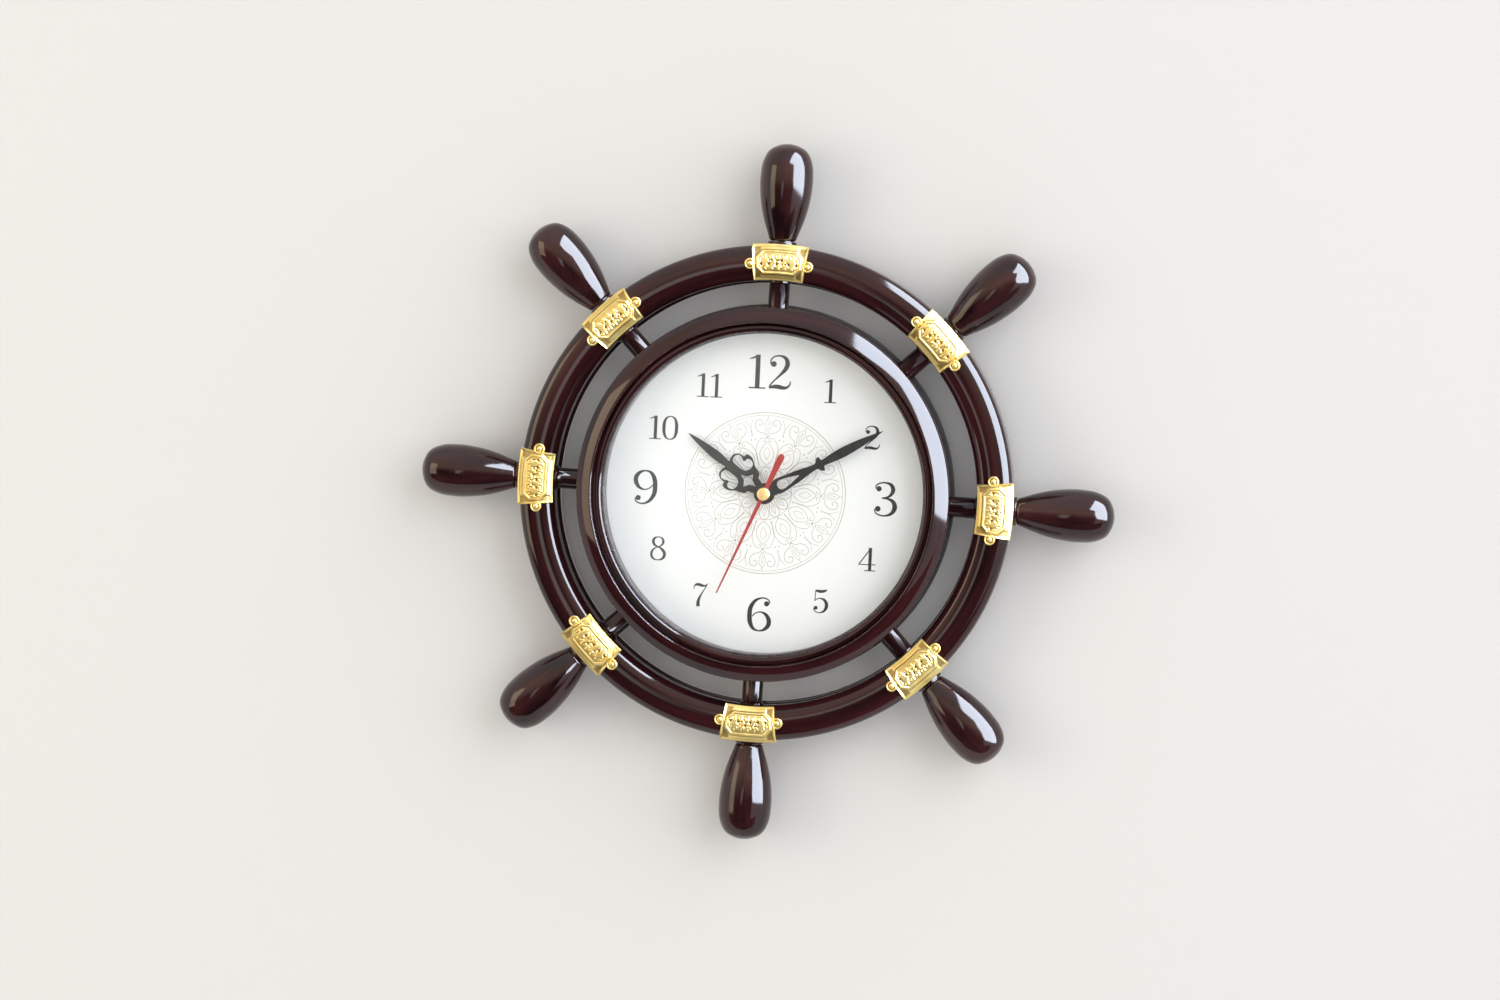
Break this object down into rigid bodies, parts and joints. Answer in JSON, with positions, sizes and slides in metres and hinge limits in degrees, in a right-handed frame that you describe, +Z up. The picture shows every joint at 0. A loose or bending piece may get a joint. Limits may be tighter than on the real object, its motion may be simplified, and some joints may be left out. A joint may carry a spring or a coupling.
{
  "type": "ship wheel wall clock",
  "caption": "Round wall clock in a glossy ship's wheel frame with turned handles, gold rim plates and a quartz movement.",
  "frame": {"origin": "seat of the hanging nail at the top of the keyhole's slot, on the wall plane at the clock's back", "axes": "+Z up, +X to the right of someone who faces the dial, +Y into the wall; the dial faces -Y and its axis lies 70 mm below the origin"},
  "size_m": [0.355, 0.0394, 0.355],
  "materials": {
    "lacquer": "dark maroon-brown, high gloss",
    "gold": "moulded plastic with a bright gold plating",
    "dark_inner": "dark maroon, satin",
    "dial_white": "white sheet with printed numerals",
    "glass": "clear flat glass",
    "hand_black": "black painted sheet aluminium",
    "hand_red": "red painted sheet aluminium",
    "brass": "pale polished brass",
    "steel": "zinc-plated steel",
    "case_plastic": "black moulded plastic, fine texture",
    "movement_plastic": "black moulded plastic",
    "gear_plastic": "white moulded acetal",
    "board": "green laminate",
    "copper": "enamelled copper wire",
    "battery_wrap": "plain printed steel can"
  },
  "bodies": {
    "clock": {"rim_front": "lacquer", "rim_back": "lacquer", "bezel": "lacquer", "handle_1": "lacquer", "handle_2": "lacquer", "handle_3": "lacquer", "handle_4": "lacquer", "handle_5": "lacquer", "handle_6": "lacquer", "handle_7": "lacquer", "handle_8": "lacquer", "spoke_1": "lacquer", "spoke_2": "lacquer", "spoke_3": "lacquer", "spoke_4": "lacquer", "spoke_5": "lacquer", "spoke_6": "lacquer", "spoke_7": "lacquer", "spoke_8": "lacquer", "rim_plate_1": "gold", "rim_plate_2": "gold", "rim_plate_3": "gold", "rim_plate_4": "gold", "rim_plate_5": "gold", "rim_plate_6": "gold", "rim_plate_7": "gold", "rim_plate_8": "gold", "spacer_ring": "dark_inner", "dial": "dial_white", "lens": "glass", "fixing_nut": "brass", "stator": "steel", "contact_plus": "steel", "contact_minus": "steel", "case_screw_1": "steel", "case_screw_2": "steel", "case_screw_3": "steel", "case_screw_4": "steel", "rear_case": "case_plastic", "movement_back": "movement_plastic", "movement_front": "movement_plastic", "middle_plate": "gear_plastic", "circuit_board": "board", "coil": "copper", "battery": "battery_wrap"},
    "seconds": {"second_wheel": "gear_plastic", "second_hand": "hand_red", "second_hand_cap": "brass"},
    "step_gear": {"step_wheel": "gear_plastic"},
    "motor_rotor": {"rotor": "steel"},
    "third_gear": {"third_wheel": "gear_plastic"},
    "centre_gear": {"centre_wheel": "brass"},
    "minutes": {"minute_tube": "brass", "minute_hand": "hand_black"},
    "hours": {"hour_wheel": "gear_plastic", "hour_hand": "hand_black"},
    "setting": {"minute_wheel": "gear_plastic", "setting_knob": "movement_plastic"}
  },
  "joints": [
    {"name": "second_hand_turn", "type": "hinge", "parent": "clock", "child": "seconds", "pos_m": [0, -0.026, -0.07], "axis": [0, 1, 0], "continuous": true},
    {"name": "minute_hand_turn", "type": "hinge", "parent": "clock", "child": "minutes", "pos_m": [0, -0.024, -0.07], "axis": [0, 1, 0], "continuous": true},
    {"name": "hour_hand_turn", "type": "hinge", "parent": "clock", "child": "hours", "pos_m": [0, -0.0219, -0.07], "axis": [0, 1, 0], "continuous": true},
    {"name": "setting_knob_turn", "type": "hinge", "parent": "clock", "child": "setting", "pos_m": [0, -0.0012, -0.058], "axis": [0, 1, 0], "continuous": true},
    {"name": "step_wheel_turn", "type": "hinge", "parent": "clock", "child": "step_gear", "pos_m": [-0.00931, -0.004, -0.06836], "axis": [0, 1, 0], "continuous": true},
    {"name": "rotor_turn", "type": "hinge", "parent": "clock", "child": "motor_rotor", "pos_m": [-0.01336, -0.007, -0.06134], "axis": [0, 1, 0], "continuous": true},
    {"name": "third_wheel_turn", "type": "hinge", "parent": "clock", "child": "third_gear", "pos_m": [0.01078, -0.0076, -0.06607], "axis": [0, 1, 0], "continuous": true},
    {"name": "centre_wheel_turn", "type": "hinge", "parent": "clock", "child": "centre_gear", "pos_m": [0, -0.0105, -0.07], "axis": [0, 1, 0], "continuous": true}
  ],
  "couplings": [
    {"joint": "step_wheel_turn", "follows": "second_hand_turn", "ratio": -6},
    {"joint": "rotor_turn", "follows": "second_hand_turn", "ratio": 30},
    {"joint": "third_wheel_turn", "follows": "second_hand_turn", "ratio": -0.13333},
    {"joint": "centre_wheel_turn", "follows": "second_hand_turn", "ratio": 0.016667},
    {"joint": "setting_knob_turn", "follows": "minute_hand_turn", "ratio": -0.33333},
    {"joint": "hour_hand_turn", "follows": "minute_hand_turn", "ratio": 0.083333}
  ]
}
